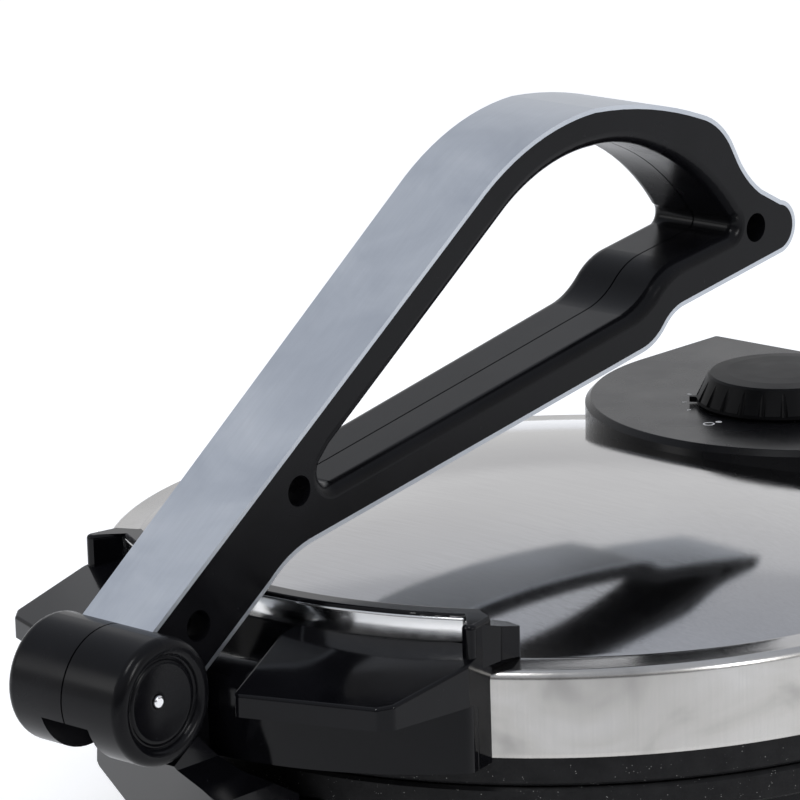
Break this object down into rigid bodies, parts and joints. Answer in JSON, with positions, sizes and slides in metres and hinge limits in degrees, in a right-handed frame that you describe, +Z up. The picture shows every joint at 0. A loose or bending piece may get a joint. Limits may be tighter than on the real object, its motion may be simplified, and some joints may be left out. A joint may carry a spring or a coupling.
{
  "type": "lever-press electric flatbread maker",
  "caption": "Round countertop flatbread press with a hinged steel dome lid, flat non-stick plates, a long looped press lever on a front pivot and a rear temperature dial.",
  "frame": {"origin": "on the table, under the centre of the closed appliance's overall box", "axes": "+Z up, -Y to the front where the lever's pivot is, +Y to the rear hinge"},
  "size_m": [0.286, 0.3838, 0.222],
  "materials": {
    "brushed_steel": "brushed",
    "band_aluminium": "satin",
    "black_satin_plastic": "satin",
    "black_gloss_plastic": "gloss",
    "nonstick_plate": "cast, speckled non-stick coating",
    "zinc_steel": "zinc plated",
    "pin_chrome": "polished",
    "rubber": "matte",
    "element_sheath": "oxidised",
    "mill_aluminium": "mill",
    "white_plastic": "matte",
    "lamp_lens": "gloss"
  },
  "bodies": {
    "base": {"base_housing": "black_satin_plastic", "base_bottom_cover": "zinc_steel", "rubber_feet": "rubber", "bottom_screws": "zinc_steel", "lower_plate": "nonstick_plate", "lower_heating_element": "element_sheath", "lower_heat_shield": "mill_aluminium", "lower_plate_screws": "zinc_steel", "lever_post": "black_gloss_plastic", "post_screws": "zinc_steel", "lever_pin": "pin_chrome", "hinge_bracket": "zinc_steel", "hinge_bracket_screws": "zinc_steel", "hinge_pin": "pin_chrome", "cord_gland": "black_satin_plastic", "terminal_block": "white_plastic", "thermal_fuse": "white_plastic"},
    "lid": {"lid_shell": "brushed_steel", "upper_plate": "nonstick_plate", "upper_heating_element": "element_sheath", "upper_heat_shield": "mill_aluminium", "upper_plate_studs": "zinc_steel", "front_housing": "black_gloss_plastic", "front_housing_screws": "zinc_steel", "rear_cover": "black_gloss_plastic", "hinge_arm": "zinc_steel", "hinge_arm_screws": "zinc_steel", "thermostat": "white_plastic", "indicator_lenses": "lamp_lens"},
    "lever": {"handle_half_left": "black_satin_plastic", "handle_half_right": "black_satin_plastic", "handle_band": "band_aluminium", "handle_screws": "zinc_steel"},
    "dial": {"control_knob": "black_gloss_plastic", "thermostat_shaft": "zinc_steel"}
  },
  "joints": [
    {"name": "lid_hinge", "type": "hinge", "parent": "base", "child": "lid", "pos_m": [0, 0.17895, 0.0513], "axis": [-1, 0, 0], "range_deg": [0, 44.5]},
    {"name": "lever_swing", "type": "hinge", "parent": "base", "child": "lever", "pos_m": [0, -0.17315, 0.08584], "axis": [1, 0, 0], "range_deg": [0, 147.5]},
    {"name": "dial_turn", "type": "hinge", "parent": "lid", "child": "dial", "pos_m": [0, 0.13445, 0.1043], "axis": [0, 0, 1], "range_deg": [-219.5, 50.5]}
  ],
  "couplings": [
    {"joint": "lever_swing", "follows": "lid_hinge", "ratio": 3.3}
  ]
}
